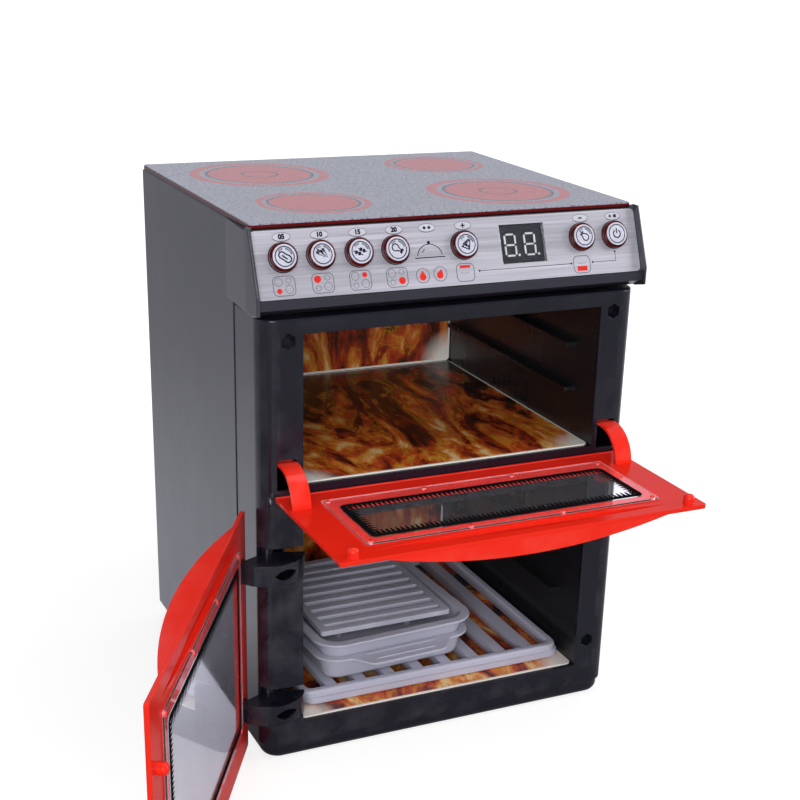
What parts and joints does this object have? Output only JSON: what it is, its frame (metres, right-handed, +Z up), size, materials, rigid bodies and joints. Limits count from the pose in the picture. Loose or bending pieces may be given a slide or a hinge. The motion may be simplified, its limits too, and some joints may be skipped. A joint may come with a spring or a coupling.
{
  "type": "toy oven",
  "caption": "Free-standing toy cooker: hob over a slanted button panel, drop-down upper oven door, side-hung lower oven door, racks and nested trays.",
  "frame": {"origin": "centre of the housing's flat underside, on the surface that the oven stands on", "axes": "+X to the user's right as they face the doors, +Y to the back, +Z up"},
  "size_m": [0.389, 0.4347, 0.349],
  "materials": {
    "casing_charcoal": "satin",
    "frame_black": "gloss",
    "liner_black": "satin",
    "flame_card": "satin",
    "red_translucent": "gloss",
    "hob_print": "satin",
    "circuit_green": "satin",
    "brushed_panel": "satin",
    "smoked_lens": "gloss",
    "display_black": "satin",
    "digit_white": "satin",
    "rubber_mat": "matte",
    "speaker_black": "matte",
    "spring_steel": "satin",
    "screw_steel": "satin",
    "door_red": "gloss",
    "clear_pane": "gloss",
    "rack_grey": "satin",
    "tray_grey": "satin",
    "button_red": "gloss",
    "button_silver": "satin"
  },
  "bodies": {
    "housing": {"base_plinth": "frame_black", "outer_casing": "casing_charcoal", "front_frame": "frame_black", "rear_cover": "casing_charcoal", "upper_liner": "liner_black", "lower_liner": "liner_black", "upper_floor_card": "flame_card", "lower_floor_card": "flame_card", "upper_back_card": "flame_card", "lower_back_card": "flame_card", "hob_light_plate": "red_translucent", "hob_print_sheet": "hob_print", "burner_light_boards": "circuit_green", "fascia_plate": "brushed_panel", "display_lens": "smoked_lens", "display_module": "display_black", "display_digits": "digit_white", "main_circuit_board": "circuit_green", "button_pad_mat": "rubber_mat", "speaker": "speaker_black", "battery_box": "liner_black", "battery_contacts": "spring_steel", "battery_door": "casing_charcoal", "battery_door_screw": "screw_steel", "base_screws": "screw_steel", "rear_cover_screws": "screw_steel", "board_screws": "screw_steel", "upper_hinge_pins": "screw_steel", "lower_hinge_pins": "screw_steel"},
    "upper_door": {"upper_door_frame": "door_red", "upper_door_pane": "clear_pane"},
    "lower_door": {"lower_door_frame": "door_red", "lower_door_pane": "clear_pane", "hinge_arm_top": "frame_black", "hinge_arm_bottom": "frame_black"},
    "rack_lower": {"rack_lower": "rack_grey"},
    "rack_upper": {"rack_upper": "rack_grey"},
    "lower_tray": {"lower_tray": "tray_grey"},
    "upper_tray": {"upper_tray": "tray_grey"},
    "grill_insert": {"grill_insert": "tray_grey"},
    "button_five": {"button_five_cap": "button_red", "button_five_disc": "button_silver"},
    "button_ten": {"button_ten_cap": "button_red", "button_ten_disc": "button_silver"},
    "button_fifteen": {"button_fifteen_cap": "button_red", "button_fifteen_disc": "button_silver"},
    "button_twenty": {"button_twenty_cap": "button_red", "button_twenty_disc": "button_silver"},
    "button_plus": {"button_plus_cap": "button_red", "button_plus_disc": "button_silver"},
    "button_minus": {"button_minus_cap": "button_red", "button_minus_disc": "button_silver"},
    "button_power": {"button_power_cap": "button_red", "button_power_disc": "button_silver"}
  },
  "joints": [
    {"name": "upper_door_hinge", "type": "hinge", "parent": "housing", "child": "upper_door", "pos_m": [0, -0.1233, 0.1845], "axis": [1, 0, 0], "range_deg": [-90, 0]},
    {"name": "lower_door_hinge", "type": "hinge", "parent": "housing", "child": "lower_door", "pos_m": [-0.122, -0.1083, 0.09], "axis": [0, 0, -1], "range_deg": [-119.5, 0]},
    {"name": "rack_lower_slide", "type": "slide", "parent": "housing", "child": "rack_lower", "axis": [0, -1, 0], "range_m": [0, 0.12]},
    {"name": "rack_upper_slide", "type": "slide", "parent": "rack_lower", "child": "rack_upper", "axis": [0, -1, 0], "range_m": [0, 0.06]},
    {"name": "lower_tray_lift", "type": "slide", "parent": "rack_upper", "child": "lower_tray", "axis": [0, 0, 1], "range_m": [0, 0.03]},
    {"name": "upper_tray_lift", "type": "slide", "parent": "lower_tray", "child": "upper_tray", "axis": [0, 0, 1], "range_m": [0, 0.03]},
    {"name": "grill_insert_lift", "type": "slide", "parent": "upper_tray", "child": "grill_insert", "axis": [0, 0, 1], "range_m": [0, 0.028]},
    {"name": "button_five_press", "type": "slide", "parent": "housing", "child": "button_five", "axis": [0, 0.9282, -0.3721], "range_m": [0, 0.0012], "stiffness_N_per_m": 900},
    {"name": "button_ten_press", "type": "slide", "parent": "housing", "child": "button_ten", "axis": [0, 0.9282, -0.3721], "range_m": [0, 0.0012], "stiffness_N_per_m": 900},
    {"name": "button_fifteen_press", "type": "slide", "parent": "housing", "child": "button_fifteen", "axis": [0, 0.9282, -0.3721], "range_m": [0, 0.0012], "stiffness_N_per_m": 900},
    {"name": "button_twenty_press", "type": "slide", "parent": "housing", "child": "button_twenty", "axis": [0, 0.9282, -0.3721], "range_m": [0, 0.0012], "stiffness_N_per_m": 900},
    {"name": "button_plus_press", "type": "slide", "parent": "housing", "child": "button_plus", "axis": [0, 0.9282, -0.3721], "range_m": [0, 0.0012], "stiffness_N_per_m": 900},
    {"name": "button_minus_press", "type": "slide", "parent": "housing", "child": "button_minus", "axis": [0, 0.9282, -0.3721], "range_m": [0, 0.0012], "stiffness_N_per_m": 900},
    {"name": "button_power_press", "type": "slide", "parent": "housing", "child": "button_power", "axis": [0, 0.9282, -0.3721], "range_m": [0, 0.0012], "stiffness_N_per_m": 900}
  ]
}
